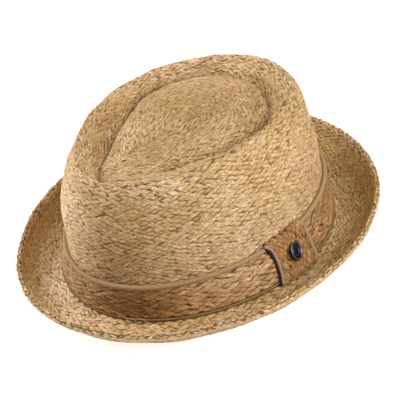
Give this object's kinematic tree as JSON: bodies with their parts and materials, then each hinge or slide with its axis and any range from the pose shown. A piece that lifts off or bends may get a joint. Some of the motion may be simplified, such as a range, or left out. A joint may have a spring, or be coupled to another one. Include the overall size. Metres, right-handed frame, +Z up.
{
  "type": "porkpie hat",
  "caption": "Straw porkpie hat of sewn raffia braid with a teardrop crown, short turned-up brim, matching band, taupe piping and a snap-button tab.",
  "frame": {"origin": "on the floor under the middle of the hat's box, where the brim rests", "axes": "+Z up through the crown; -Y is the front, where the teardrop's tip points; +X is the wearer's left, with the tab and button"},
  "size_m": [0.2566, 0.2786, 0.1067],
  "materials": {
    "raffia": "matt golden plaited raffia straw with a slight sheen along the strands",
    "band_raffia": "smoother, longer plaited raffia in a warmer, browner tan",
    "taupe_tape": "finely ribbed matt taupe tape over a thin cord",
    "dark_metal": "blackened metal, satin, with a brighter worn rim"
  },
  "bodies": {
    "root": {"brim": "raffia", "crown": "raffia", "edge_braid": "raffia", "hat_band": "band_raffia", "band_top_binding": "taupe_tape", "band_bottom_binding": "taupe_tape", "band_tab": "band_raffia", "tab_front_binding": "taupe_tape", "tab_rear_binding": "taupe_tape", "snap_button": "dark_metal"}
  },
  "joints": []
}
